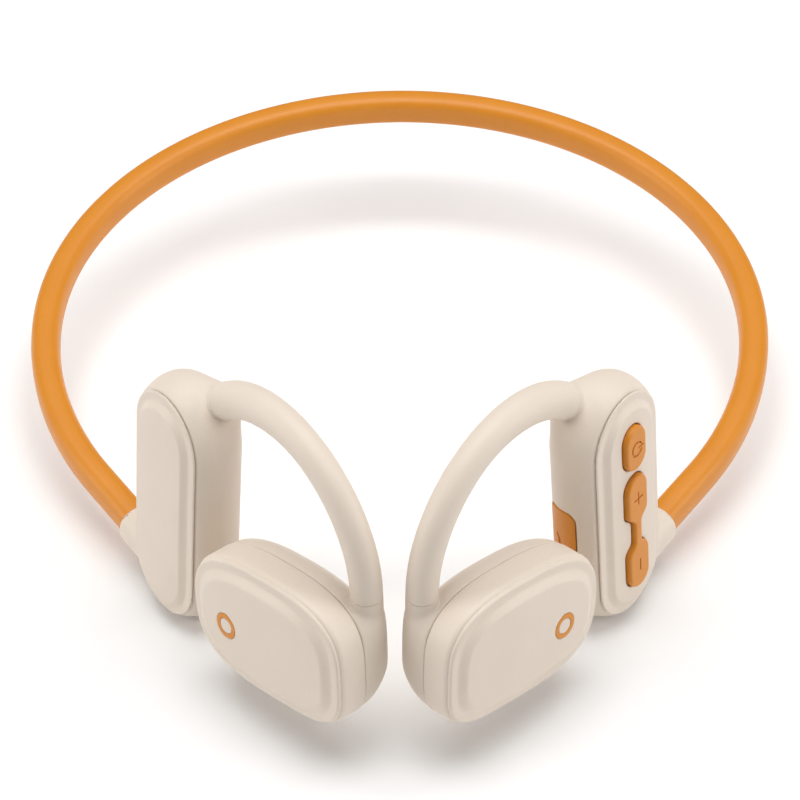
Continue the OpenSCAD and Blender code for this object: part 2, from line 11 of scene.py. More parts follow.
import bpy
import numpy as np
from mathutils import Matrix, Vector


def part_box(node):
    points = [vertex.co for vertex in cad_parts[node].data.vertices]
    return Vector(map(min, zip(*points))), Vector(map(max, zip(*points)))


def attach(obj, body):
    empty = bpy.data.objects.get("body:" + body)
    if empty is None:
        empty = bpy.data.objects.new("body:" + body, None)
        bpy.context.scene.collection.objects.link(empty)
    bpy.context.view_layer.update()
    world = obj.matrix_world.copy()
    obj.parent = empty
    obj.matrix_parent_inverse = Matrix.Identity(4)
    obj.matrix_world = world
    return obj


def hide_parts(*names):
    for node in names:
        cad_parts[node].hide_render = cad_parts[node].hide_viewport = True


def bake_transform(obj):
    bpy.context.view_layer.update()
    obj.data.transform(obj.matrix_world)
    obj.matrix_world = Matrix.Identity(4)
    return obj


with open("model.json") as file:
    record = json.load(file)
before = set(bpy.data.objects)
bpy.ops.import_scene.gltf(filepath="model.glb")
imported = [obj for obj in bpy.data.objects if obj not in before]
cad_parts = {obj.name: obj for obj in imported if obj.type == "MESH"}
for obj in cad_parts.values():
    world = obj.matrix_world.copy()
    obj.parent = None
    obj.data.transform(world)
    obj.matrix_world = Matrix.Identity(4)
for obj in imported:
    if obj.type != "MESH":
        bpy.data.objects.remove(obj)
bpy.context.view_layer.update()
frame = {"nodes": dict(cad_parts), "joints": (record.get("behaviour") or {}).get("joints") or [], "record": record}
MM = 0.001

# ---------- driving sizes, in millimetres and degrees ----------
# Most are the CAD's. The visible surface departs from it by up to 1.4 mm where the real
# object looks fuller: the speakers' low corner and seam, and the port's cover.

# Band: half an ellipse at the back, part of a deeper one in front, and straight tails
BAND_HALF_WIDTH = 67.7
BAND_REAR_DEPTH = 62.3
BAND_FRONT_DEPTH = 66.0
BAND_TILT = 8.0
BAND_TAIL = 12.5
BAND_THICK = 5.5
BAND_TALL = 6.4
BAND_SQUARE = 2.7
BAND_IN = 0.8
BAND_PLUG = 4.0

# Pods: a stadium outline, with the collar for the band and the seam of the cover at Y = 0
POD_R = 9.2
POD_ENDS = 14.1
POD_BULGE = 1.6
POD_EDGE = 6.0
POD_DEPTH = 11.0
POD_WALL = 1.2
COLLAR_SEAT = (8.8, 3.8, -17.3)
COLLAR_LEN = 7.0
COLLAR_R = 3.85
COLLAR_BORE = 1.9
COLLAR_BORE_LEN = 5.0
SEAL_MIDDLE = 1.1
LIP_INSET = (1.4, 2.3)
COLLAR_FILLET = 1.6
COVER_LEDGE = 0.42
COVER_STEP = 0.88
COVER_CROWN = 0.42

# Ear hooks: a rear arc and a tighter front arc, then straight down to the stem
HOOK_ROOT = (-2.8, 7.9, 19.5)
HOOK_REAR_R = 25.5
HOOK_FRONT_R = 21.75
HOOK_REACH = 20.5
HOOK_DROP = 0.5
HOOK_ROOT_R = 3.3
HOOK_END_R = 2.75
HOOK_SEAM = 6.0
HOOK_FILLET = 3.4
CHANNEL_R = 1.45

# Speakers: a superellipse outline, with the seam of the face at Y = 0
SPEAKER_A = 18.0
SPEAKER_B = 12.3
SPEAKER_SQUARE = 2.77
LOW_CORNER_SQUARE = 3.9
SPEAKER_DEPTH = 12.0
SPEAKER_DROOP = 7.0
BACK_SEAM = 5.6
PAD_PROUD = 0.8
PAD_W = 15.6
PAD_H = 11.6
STEM_TOP = (-14.87, 9.41, 10.88)
STEM_LEN = 17.0
STEM_FILLET = 3.6
FACE_LEDGE = 0.34
FACE_STEP = 0.82
FACE_CROWN = 0.72
RING_AT = (8.2, -0.8)
RING_R = 1.95
RING_HALF = 0.45

# Keys and charging port, in the control pod's frame
BUTTON_X = -0.3
BUTTON_W = 5.7
POWER_Z = 13.4
POWER_H = 8.8
ROCKER_Z = -4.8
ROCKER_H = 24.4
LOBE_H = 9.6
BUTTON_TOP = -2.7
KEY_GAP = 0.17
KEY_ROUND = 0.55
FLANGE_OUT = 0.5
FLANGE_HALF = 0.22
POWER_FLANGE_Y = 0.05
ROCKER_FLANGE_Y = 0.4
MARK_DEPTH = 0.24
MARK_HALF = 0.16
PORT_Z = -4.3
SLOT_HALF_W = 1.95
SLOT_HALF_H = 4.65
PORT_TURN = 20.0
PORT_SPAN = 34.0
FLAP_Z = -3.9
FLAP_H = 14.0
FLAP_THICK = 0.6
FLAP_PROUD = 0.1
FLAP_CORNER = 1.9


# ---------- vectors and frames ----------
def unit(v):
    return np.asarray(v, float) / np.linalg.norm(v)


class Place:
    """A local frame: X lies level unless it droops, Y is given, Z completes it."""

    def __init__(self, origin, y, droop=0.0):
        level = unit(np.cross(y, (0, 0, 1)))
        upright = np.cross(level, y)
        c, s = math.cos(math.radians(droop)), math.sin(math.radians(droop))
        self.origin = np.asarray(origin, float)
        self.axes = np.array([c * level - s * upright, y, s * level + c * upright])

    def out(self, p):
        return self.origin + np.asarray(p, float) @ self.axes

    def into_way(self, v):
        return self.axes @ np.asarray(v, float)


joints = {j["name"]: j for j in frame["joints"]}
mounts = {m["name"]: m for m in frame["record"]["mounts"]}
seal_low, seal_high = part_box("control_cover_seal")
pod_y = unit(joints["power_press"]["axis"])
pod = Place(np.array((seal_low + seal_high) / 2) / MM - SEAL_MIDDLE * pod_y, pod_y)
speaker_y = unit(mounts["left_contact_face"]["axis"])
pad_face = np.array(mounts["left_contact_face"]["pos_m"]) / MM
speaker = Place(pad_face - (SPEAKER_DEPTH + PAD_PROUD) * speaker_y, speaker_y, SPEAKER_DROOP)

# ---------- the paths of the band and of a hook, in the row frame ----------
tilt = math.radians(BAND_TILT)
tail_yaw = math.atan2(pod.axes[0][0] * math.cos(tilt), pod.axes[0][1])
BAND_END = math.pi / 2 + math.atan(BAND_FRONT_DEPTH / BAND_HALF_WIDTH * math.tan(tail_yaw))
BAND_UP = np.array([0, -math.sin(tilt), math.cos(tilt)])
BAND_STEPS = 150
TAIL_STEPS = 8
REAR_ARC_STEPS = 34
FRONT_ARC_STEPS = 64


def plane_point(u, v):
    return np.array([u, v * math.cos(tilt), v * math.sin(tilt)])


hinge = np.array(joints["left_band_flex"]["pos_m"]) / MM
hinge_angle = math.asin(hinge[0] / BAND_HALF_WIDTH)
band_origin = hinge - plane_point(hinge[0], BAND_REAR_DEPTH * math.cos(hinge_angle))


def band_point(a):
    depth = BAND_REAR_DEPTH if abs(a) <= math.pi / 2 else BAND_FRONT_DEPTH
    return band_origin + plane_point(BAND_HALF_WIDTH * math.sin(a), depth * math.cos(a))


def band_half(plug):
    """Points from the middle of the back to the left tail, and on into the collar by plug."""
    points = [band_point(a) for a in np.linspace(0, BAND_END, BAND_STEPS)]
    way = unit(plane_point(-math.sin(tail_yaw), -math.cos(tail_yaw)))
    last = points[-1]
    lengths = [*np.linspace(0, BAND_TAIL, TAIL_STEPS)[1:], BAND_TAIL + plug]
    return np.array(points + [last + d * way for d in lengths])


hook_origin = pod.out(HOOK_ROOT)
HOOK_UP = unit(joints["left_hook_flex"]["axis"])
hook_level = unit(np.cross(HOOK_UP, (0, 0, 1)))
hook_root_angle = math.asin(HOOK_REACH / HOOK_REAR_R)
hook_rise = HOOK_REAR_R * (1 - math.cos(hook_root_angle))
root_way = -math.cos(hook_root_angle) * hook_level + np.array([0, 0, math.sin(hook_root_angle)])


def hook_point(u, z):
    return hook_origin + u * hook_level + np.array([0, 0, z])


def hook_path(start, end_on):
    """Points from the pod to the speaker, starting past the root by start, which may be
    negative, and carried straight on past the foot by end_on."""
    points = []
    if start < 0:
        points.append(hook_origin + start * root_way)
    first = hook_root_angle - max(start, 0) / HOOK_REAR_R
    for a in np.linspace(first, 0, REAR_ARC_STEPS):
        rise = hook_rise - HOOK_REAR_R * (1 - math.cos(a))
        points.append(hook_point(HOOK_REAR_R * math.sin(a) - HOOK_REACH, rise))
    for a in np.linspace(0, math.pi / 2, FRONT_ARC_STEPS)[1:]:
        rise = hook_rise - HOOK_FRONT_R * (1 - math.cos(a))
        points.append(hook_point(-HOOK_REACH - HOOK_FRONT_R * math.sin(a), rise))
    points.append(points[-1] - np.array([0, 0, HOOK_DROP]))
    if end_on:
        points.append(points[-1] - np.array([0, 0, end_on]))
    return np.array(points)


# ---------- meshes ----------
def new_piece(name, points, faces, normals=None):
    """A smooth-shaded mesh object from points in millimetres in the row frame."""
    mesh = bpy.data.meshes.new(name)
    mesh.from_pydata((np.asarray(points) * MM).tolist(), [], [list(f) for f in faces])
    mesh.update()
    mesh.polygons.foreach_set("use_smooth", [True] * len(mesh.polygons))
    if normals is None:
        mesh.set_sharp_from_angle(angle=math.radians(50))
    else:
        mesh.normals_split_custom_set_from_vertices(normals.tolist())
    piece = bpy.data.objects.new(name, mesh)
    bpy.context.scene.collection.objects.link(piece)
    return piece


def other_side(points, faces, normals=None):
    """The mirror image, left to right."""
    flip = np.array([-1, 1, 1])
    turned = [list(f)[::-1] for f in faces]
    return points * flip, turned, None if normals is None else normals * flip


# How a mesh's points are pulled onto the surface of its field
SLOPE_STEP = 0.02
PULLS = 4
RELAXED_PULLS = 2
FLATTEST = 0.2


def gradient(field, p):
    slope = np.empty_like(p)
    for axis in range(3):
        move = np.zeros(3)
        move[axis] = SLOPE_STEP
        slope[:, axis] = (field(p + move) - field(p - move)) / (2 * SLOPE_STEP)
    return slope


def net_points(value, axes, cell):
    """One point in each grid cell that the surface crosses: the mean of its edge crossings."""
    cells = tuple(n - 1 for n in value.shape)
    total = np.zeros(cells + (3,))
    count = np.zeros(cells)
    for axis in range(3):
        low = np.take(value, range(value.shape[axis] - 1), axis)
        high = np.take(value, range(1, value.shape[axis]), axis)
        crossed = (low < 0) != (high < 0)
        share = np.where(crossed, low / np.where(crossed, low - high, 1), 0)
        b, c = (axis + 1) % 3, (axis + 2) % 3
        for db in (0, 1):
            for dc in (0, 1):
                part = [slice(None)] * 3
                part[b] = slice(db, db + cells[b])
                part[c] = slice(dc, dc + cells[c])
                hit = crossed[tuple(part)]
                count += hit
                total[..., axis] += share[tuple(part)] * hit
                total[..., b] += db * hit
                total[..., c] += dc * hit
    active = count > 0
    where = np.argwhere(active)
    points = (where + total[active] / count[active][:, None]) * cell
    return points + np.array([a[0] for a in axes]), active


def net_faces(value, active):
    """A quad round each grid edge that the surface crosses, turned outwards."""
    index = np.full(active.shape, -1)
    index[active] = np.arange(active.sum())
    faces = []
    for axis in range(3):
        b, c = (axis + 1) % 3, (axis + 2) % 3
        low = np.take(value, range(value.shape[axis] - 1), axis) < 0
        high = np.take(value, range(1, value.shape[axis]), axis) < 0
        at = np.argwhere(low != high)
        at = at[(at[:, b] > 0) & (at[:, c] > 0)]
        at = at[(at[:, b] < value.shape[b] - 1) & (at[:, c] < value.shape[c] - 1)]
        corners = []
        for db, dc in ((1, 1), (0, 1), (0, 0), (1, 0)):
            spot = at.copy()
            spot[:, b] -= db
            spot[:, c] -= dc
            corners.append(index[tuple(spot.T)])
        quads = np.stack(corners, 1)
        outward = low[tuple(at.T)]
        faces.append(np.where(outward[:, None], quads, quads[:, ::-1]))
    return np.concatenate(faces)


def relax(points, faces, share):
    """Moves each point part of the way to the middle of its neighbours."""
    total = np.zeros_like(points)
    count = np.zeros(len(points))
    for i in range(4):
        a, b = faces[:, i], faces[:, (i + 1) % 4]
        for one, two in ((a, b), (b, a)):
            np.add.at(total, one, points[two])
            np.add.at(count, one, 1)
    return points + share * (total / count[:, None] - points)


def solid(field, place, low, high, cell):
    """Points, faces and normals, in the row frame, of the solid where a local field is below 0."""
    axes = [np.arange(a, b + cell, cell) for a, b in zip(low, high)]
    grid = np.stack(np.meshgrid(*axes, indexing="ij"), -1)
    value = field(grid.reshape(-1, 3)).reshape(grid.shape[:3])
    points, active = net_points(value, axes, cell)
    faces = net_faces(value, active)
    for pull in range(PULLS):
        if pull < RELAXED_PULLS:
            points = relax(points, faces, 0.5)
        slope = gradient(field, points)
        size = np.maximum((slope * slope).sum(1), FLATTEST)
        move = np.clip(field(points) / size, -cell / 2, cell / 2)
        points = points - move[:, None] * slope
    normals = gradient(field, points)
    normals /= np.maximum(np.linalg.norm(normals, axis=1), 1e-6)[:, None]
    return place.out(points), faces, normals @ place.axes


def sweep(points, up, section, end_round=0.0, bore=0.0):
    """A closed tube along a path, with a round channel of radius bore if that is given.
    section(share) is its outline as (side, up) offsets; its far end is rounded by end_round."""
    ways = np.gradient(points, axis=0, edge_order=2)
    ways /= np.linalg.norm(ways, axis=1)[:, None]
    run = np.concatenate([[0], np.cumsum(np.linalg.norm(np.diff(points, axis=0), axis=1))])
    run /= run[-1]
    stations = [(at, way, section(share)) for at, way, share in zip(points, ways, run)]
    if end_round:
        at, way, outline = stations.pop()
        reach = np.linalg.norm(outline, axis=1)[:, None]
        for a in np.radians([0, 30, 60, 90]):
            back = end_round * (1 - math.sin(a))
            shrink = end_round * (1 - math.cos(a))
            stations.append((at - back * way, way, outline * (1 - shrink / reach)))
    n = len(stations[0][2])
    if bore:
        hole = circle(bore, n)
        stations += [(at, way, hole) for at, way, _ in stations[::-1]]
    rings = []
    for at, way, outline in stations:
        side = unit(np.cross(up, way))
        rings.append(at + outline[:, :1] * side + outline[:, 1:] * up)
    m = len(rings)
    faces = []
    for k in range(m if bore else m - 1):
        for j in range(n):
            i, l = (j + 1) % n, (k + 1) % m
            faces.append((k * n + j, k * n + i, l * n + i, l * n + j))
    if not bore:
        faces.append(tuple(range(n))[::-1])
        faces.append(tuple((m - 1) * n + j for j in range(n)))
    return np.concatenate(rings), faces


def rounded(side_r, up_r, square, count):
    """A superellipse outline, with more squareness above 2."""
    a = np.arange(count) * 2 * math.pi / count
    power = 2 / square
    side = side_r * np.sign(np.cos(a)) * np.abs(np.cos(a)) ** power
    tall = up_r * np.sign(np.sin(a)) * np.abs(np.sin(a)) ** power
    return np.stack([side, tall], 1)


def circle(radius, count):
    return rounded(radius, radius, 2.0, count)


# ---------- fields ----------
def smooth_max(a, b, width):
    """The larger of two distances, rounded over where they meet."""
    h = np.maximum(width - np.abs(a - b), 0) / width
    return np.maximum(a, b) + h * h * width / 4


def smooth_min(a, b, width):
    return -smooth_max(-a, -b, width)


def ramp(value, start, end):
    t = np.clip((value - start) / (end - start), 0, 1)
    return t * t * (3 - 2 * t)


def pod_inset(x, z):
    """Distance in from a pod's stadium outline."""
    return POD_R - np.hypot(x, np.maximum(np.abs(z) - POD_ENDS, 0))


# Grid on which the speakers' outline is worked out
OVAL_STEP = 0.1
OVAL_REACH = 24.0
OVAL_DEEPEST = -14.0


def oval_table(square):
    """Inset of a speaker's superellipse outline, on a grid of one corner's x and z."""
    at = np.arange(0, OVAL_REACH + OVAL_STEP, OVAL_STEP)
    x, z = np.meshgrid(at, at, indexing="ij")
    low = np.full(x.shape, OVAL_DEEPEST)
    high = np.full(x.shape, SPEAKER_B - 0.02)
    for _ in range(18):
        t = (low + high) / 2
        size = (x / (SPEAKER_A - t)) ** square + (z / (SPEAKER_B - t)) ** square
        outside = size > 1
        high = np.where(outside, t, high)
        low = np.where(outside, low, t)
    return (low + high) / 2


OVAL = np.stack([oval_table(SPEAKER_SQUARE), oval_table(LOW_CORNER_SQUARE)])


def oval_inset(x, z):
    """Inset of the outline, whose corner below the stem is fuller than the other three."""
    u, v = np.abs(x) / OVAL_STEP, np.abs(z) / OVAL_STEP
    corner = ((x < 0) & (z < 0)).astype(int)
    i = np.minimum(u.astype(int), OVAL.shape[1] - 2)
    j = np.minimum(v.astype(int), OVAL.shape[2] - 2)
    u, v = u - i, v - j
    near = OVAL[corner, i, j] * (1 - v) + OVAL[corner, i, j + 1] * v
    far = OVAL[corner, i + 1, j] * (1 - v) + OVAL[corner, i + 1, j + 1] * v
    return near * (1 - u) + far * u


def rounded_back(inset, y, edge, edge_y, proud):
    """Outside of a shell that swells out by proud and turns over its back with radius edge."""
    a, b = edge - proud - inset, y - edge_y
    return np.hypot(np.maximum(a, 0), np.maximum(b, 0)) + np.minimum(np.maximum(a, b), 0) - edge


def oval_distance(x, z, w, h):
    return np.hypot(x, np.maximum(np.abs(z) - (h - w) / 2, 0)) - w / 2


def box_distance(x, z, half_x, half_z, corner=0.0):
    a, b = np.abs(x) - half_x + corner, np.abs(z) - half_z + corner
    return np.hypot(np.maximum(a, 0), np.maximum(b, 0)) + np.minimum(np.maximum(a, b), 0) - corner


def axis_parts(p, start, way):
    """Distance along and away from a line."""
    q = p - start
    along = q @ way
    return along, np.linalg.norm(q - along[:, None] * way, axis=1)


def pod_body(p):
    """Outside of a pod behind its seam: it swells, then turns over a rounded back."""
    x, y, z = p.T
    inset = pod_inset(x, z)
    edge_y = POD_DEPTH - POD_EDGE
    share = np.clip(y / edge_y, 0, 1)
    swell = POD_BULGE * (1 - (1 - share) ** 2)
    slope = 2 * POD_BULGE / edge_y * (1 - share)
    front = (-inset - swell) / np.sqrt(1 + slope * slope)
    return np.where(y < edge_y, front, rounded_back(inset, y, POD_EDGE, edge_y, POD_BULGE))


collar_way = pod.into_way(-unit(plane_point(-math.sin(tail_yaw), -math.cos(tail_yaw))))
collar_up = pod.into_way(BAND_UP)
collar_side = np.cross(collar_up, collar_way)


def hook_parts(p):
    """Distance past the hook's root along its rear arc, and distance away from that arc."""
    q = pod.out(p) - hook_origin
    level, upright = q @ hook_level + HOOK_REACH, q[:, 2] - hook_rise + HOOK_REAR_R
    run = HOOK_REAR_R * (hook_root_angle - np.arctan2(level, upright))
    return run, np.hypot(np.hypot(level, upright) - HOOK_REAR_R, q @ HOOK_UP)


def port_patch(p):
    """Outline of the charging port's cover, laid over the pod's rounded inner edge."""
    x, y, z = p.T
    turn = math.radians(PORT_TURN)
    qx, qy = x + POD_R + POD_BULGE - POD_EDGE, y - (POD_DEPTH - POD_EDGE)
    outward = -math.cos(turn) * qx + math.sin(turn) * qy
    across = math.sin(turn) * qx + math.cos(turn) * qy
    around = POD_EDGE * np.arctan2(across, outward)
    half = POD_EDGE * math.radians(PORT_SPAN)
    return box_distance(around, z - FLAP_Z, half, FLAP_H / 2, FLAP_CORNER), outward, across


def pod_shell(p, with_port):
    """Hollow shell of a pod, with the flare into the hook and the band's collar."""
    y = p[:, 1]
    body = pod_body(p)
    run, off_arc = hook_parts(p)
    flare = smooth_max(off_arc - HOOK_ROOT_R - 0.04, np.abs(run) - HOOK_SEAM, 0.12)
    outside = smooth_min(body, flare, 0.05 + HOOK_FILLET * ramp(HOOK_SEAM - run, 0, 4.5))
    q = p - np.array(COLLAR_SEAT)
    along, away = axis_parts(p, np.array(COLLAR_SEAT), collar_way)
    radius = COLLAR_R - 0.1 * np.clip(along / COLLAR_LEN, 0, 1) ** 2
    collar = smooth_max(away - radius, np.abs(along) - COLLAR_LEN, 0.8)
    outside = smooth_min(outside, collar, COLLAR_FILLET)
    shell = smooth_max(outside, -y, 0.7)
    shell = np.maximum(shell, -(body + POD_WALL))
    shell = np.maximum(shell, -np.maximum(away - COLLAR_BORE, COLLAR_LEN - COLLAR_BORE_LEN - along))
    band = ((np.abs(q @ collar_side) / (BAND_THICK / 2 + 0.05)) ** BAND_SQUARE
            + (np.abs(q @ collar_up) / (BAND_TALL / 2 + 0.05)) ** BAND_SQUARE)
    band = (band ** (1 / BAND_SQUARE) - 1) * BAND_THICK / 2
    shell = np.maximum(shell, -np.maximum(band, COLLAR_LEN - BAND_IN - along))
    shell = np.maximum(shell, -np.maximum(off_arc - CHANNEL_R - 0.1, -run - HOOK_SEAM))
    if with_port:
        patch, outward, across = port_patch(p)
        pocket = np.maximum(patch - 0.14, -(body + FLAP_THICK + 0.1))
        shell = smooth_max(shell, -pocket, 0.2)
        slot = box_distance(across, p[:, 2] - PORT_Z, SLOT_HALF_W, SLOT_HALF_H, SLOT_HALF_W - 0.01)
        shell = np.maximum(shell, -np.maximum(slot, -outward))
    return shell


def cover_height(inset):
    """How far a pod's cover stands out in front of its seam: ledge, soft step and crown."""
    ledge = COVER_LEDGE + 0.05 * np.clip(inset, 0, 2)
    step = COVER_STEP * ramp(inset, 1.45, 3.1)
    crown = COVER_CROWN * (1 - (1 - np.clip((inset - 2.4) / 7, 0, 1)) ** 2)
    return ledge + step + crown


def rocker_distance(x, z):
    """Two lobes, round at their outer ends and bevelled towards the narrow waist."""
    in_from_end = ROCKER_H / 2 - np.abs(z)
    lobes = oval_distance(x, np.maximum(BUTTON_W / 2 - in_from_end, 0), BUTTON_W, BUTTON_W)
    bevel = (np.abs(x) * 0.8 + in_from_end - LOBE_H - 0.9) / 1.28
    lobes = smooth_max(lobes, bevel, 0.7)
    return smooth_min(lobes, box_distance(x, z, 0.95, 5.0), 0.6)


def pod_cover(p, with_buttons):
    """Front cover of a pod: a stepped plate, a lip that locates it and holes for the keys."""
    x, y, z = p.T
    inset = pod_inset(x, z)
    top = (-cover_height(inset) - y) / 1.1
    lip_start, lip_end = LIP_INSET
    under = np.where(inset < lip_end, -0.1, -0.3)
    plate = smooth_max(smooth_max(top, 0.1 - inset, 0.45), y - under, 0.1)
    lip = np.maximum(np.maximum(lip_start - inset, inset - lip_end), np.maximum(y - 2, -0.4 - y))
    cover = np.minimum(plate, lip)
    if with_buttons:
        for hole in (oval_distance(x - BUTTON_X, z - POWER_Z, BUTTON_W, POWER_H),
                     rocker_distance(x - BUTTON_X, z - ROCKER_Z)):
            cover = smooth_max(cover, KEY_GAP - hole, 0.3)
    return cover


def button(p, outline, mark, flange_y):
    """A key: rounded top, straight sides, and a flange under the cover that keeps it in."""
    y = p[:, 1]
    stem = smooth_max(smooth_max(outline, BUTTON_TOP - y, KEY_ROUND), y - flange_y - 0.25, 0.2)
    flange = np.maximum(outline - FLANGE_OUT, np.abs(y - flange_y) - FLANGE_HALF)
    key = np.minimum(stem, flange)
    return smooth_max(key, -np.maximum(mark, y - BUTTON_TOP - MARK_DEPTH), 0.08)


def power_mark(x, z):
    """A ring open at one side, with a short bar through the gap."""
    ring = np.abs(np.hypot(x, z) - 1.35) - 0.17
    gap = np.maximum(np.abs(x) - 0.55, -z)
    bar = box_distance(x, z - 1.15, MARK_HALF, 0.75)
    return np.minimum(np.maximum(ring, -gap), bar)


def power_button(p):
    x, z = p[:, 0] - BUTTON_X, p[:, 2] - POWER_Z
    outline = oval_distance(x, z, BUTTON_W, POWER_H)
    return button(p, outline, power_mark(z, x), POWER_FLANGE_Y)


def volume_rocker(p):
    x, z = p[:, 0] - BUTTON_X, p[:, 2] - ROCKER_Z
    lobe_z = (ROCKER_H - LOBE_H) / 2
    upright = box_distance(x, np.abs(z) - lobe_z, MARK_HALF, 1.3)
    level = box_distance(x, z - lobe_z, 1.3, MARK_HALF)
    return button(p, rocker_distance(x, z), np.minimum(upright, level), ROCKER_FLANGE_Y)


def bolt_mark(x, z):
    """Two slanted strokes that make a small lightning bolt."""
    x, z = x * np.sign(z + 1e-9), np.abs(z)
    slant = np.abs(0.86 * (x - 0.2) - 0.5 * (z - 0.75)) - 0.17
    return np.maximum(slant, box_distance(x - 0.2, z - 0.7, 0.9, 0.8))


def port_cover(p):
    """Cover of the charging port: a curved tile with a small bolt sunk in it."""
    body = pod_body(p)
    patch, outward, across = port_patch(p)
    tile = smooth_max(body - FLAP_PROUD, -(body + FLAP_THICK), 0.2)
    flap = smooth_max(tile, patch, 0.35)
    mark = bolt_mark(across, p[:, 2] - FLAP_Z)
    return smooth_max(flap, -np.maximum(mark, -(body + 0.22)), 0.08)


def face_height(x, z, inset):
    """How far a speaker's face stands out in front of its seam."""
    ledge = FACE_LEDGE + 0.05 * np.clip(inset, 0, 2.5)
    step = FACE_STEP * ramp(inset, 1.7, 3.7)
    far = (np.abs(x / SPEAKER_A) ** 2.2 + np.abs(z / SPEAKER_B) ** 2.2) ** (1 / 2.2)
    crown = FACE_CROWN * (1 - np.clip(far / 0.86, 0, 1) ** 2)
    return ledge + step + crown


def ring_distance(x, z):
    return np.abs(np.hypot(x - RING_AT[0], z - RING_AT[1]) - RING_R) - RING_HALF


def speaker_face(p):
    """Face panel of a speaker, hollow behind, with a groove for the ring."""
    x, y, z = p.T
    inset = oval_inset(x, z)
    height = face_height(x, z, inset)
    top = (-height - y) / 1.1
    plate = smooth_max(smooth_max(top, 0.34 - inset, 0.5), y - 0.4, 0.2)
    plate = np.maximum(plate, -np.maximum(2.2 - inset, -y - height + 1.3))
    groove = np.maximum(ring_distance(x, z) - 0.03, y + height - 0.45)
    return np.maximum(plate, -groove)


def face_ring(p):
    """The inlaid ring, which follows the face and stands just proud of it."""
    x, y, z = p.T
    height = face_height(x, z, oval_inset(x, z))
    ring = smooth_max(ring_distance(x, z), -height - 0.05 - y, 0.12)
    return np.maximum(ring, y + height - 0.42)


def speaker_side(p):
    """Side band between the face panel and the back shell."""
    x, y, z = p.T
    inset = oval_inset(x, z)
    outer = smooth_max(-inset - 0.1, -y + 0.05, 1.3)
    outer = smooth_max(outer, y - BACK_SEAM + 0.05, 0.35)
    return np.maximum(outer, inset - POD_WALL)


stem_top = np.array(STEM_TOP)
stem_way = speaker.into_way((0, 0, -1.0))


def back_body(p):
    """Outside of a speaker behind its side band, rounded over the back."""
    x, y, z = p.T
    edge = SPEAKER_DEPTH - BACK_SEAM - 0.7
    return rounded_back(oval_inset(x, z), y, edge, SPEAKER_DEPTH - edge, -0.05)


def speaker_back(p):
    """Back shell of a speaker, with the hook's stem and the opening for the contact pad."""
    x, y, z = p.T
    body = back_body(p)
    along, away = axis_parts(p, stem_top, stem_way)
    radius = HOOK_END_R + 0.03 + 0.25 * np.clip(along / 14, 0, 1)
    stem = smooth_max(smooth_max(away - radius, along - STEM_LEN, 3), -along, 0.12)
    outside = smooth_min(body, stem, 0.05 + STEM_FILLET * ramp(along, 0, 5))
    outside = np.maximum(outside, -np.maximum(away - CHANNEL_R - 0.1, along - 6))
    shell = smooth_max(outside, BACK_SEAM + 0.05 - y, 0.35)
    shell = np.maximum(shell, -(body + POD_WALL))
    hole = oval_distance(z, x, PAD_H + 0.4, PAD_W + 0.4)
    return smooth_max(shell, -np.maximum(hole, SPEAKER_DEPTH - 3 - y), 0.3)


def contact_pad(p):
    """Crowned oval pad that rests on the cheek."""
    x, y, z = p.T
    edge = oval_distance(z, x, PAD_H, PAD_W)
    crown = SPEAKER_DEPTH + PAD_PROUD - 0.45 * np.clip(1 + edge / (PAD_H / 2), 0, 1) ** 2
    pad = smooth_max(edge, y - crown, 1.0)
    return np.maximum(pad, SPEAKER_DEPTH - 1.6 - y)


# ---------- materials ----------
# Sizes of the slow colour drift and of the fine specks
DRIFT_MM = 9.0
SPECK_MM = 0.35


def nodes_of(name):
    material = bpy.data.materials.new(name)
    material.use_nodes = True
    tree = material.node_tree
    return material, tree, tree.nodes["Principled BSDF"]


def node(tree, kind, **values):
    """A new shader node, with each value set on the node or on its input of that name."""
    made = tree.nodes.new(kind)
    for key, value in values.items():
        if hasattr(made, key):
            setattr(made, key, value)
        else:
            made.inputs[key.replace("_", " ")].default_value = value
    return made


def noise(tree, size_mm):
    place = node(tree, "ShaderNodeTexCoord")
    texture = node(tree, "ShaderNodeTexNoise", Scale=1 / (size_mm * MM), Detail=2.0)
    tree.links.new(place.outputs["Object"], texture.inputs["Vector"])
    return texture


def span(tree, source, low, high, out_low, out_high):
    """Maps low..high of a value to out_low..out_high."""
    ranged = node(tree, "ShaderNodeMapRange")
    for key, value in (("From Min", low), ("From Max", high),
                       ("To Min", out_low), ("To Max", out_high)):
        ranged.inputs[key].default_value = value
    tree.links.new(source, ranged.inputs["Value"])
    return ranged.outputs["Result"]


def bump(tree, shader, height, depth_mm):
    made = node(tree, "ShaderNodeBump", Strength=1.0, Distance=depth_mm * MM)
    tree.links.new(height, made.inputs["Height"])
    tree.links.new(made.outputs["Normal"], shader.inputs["Normal"])


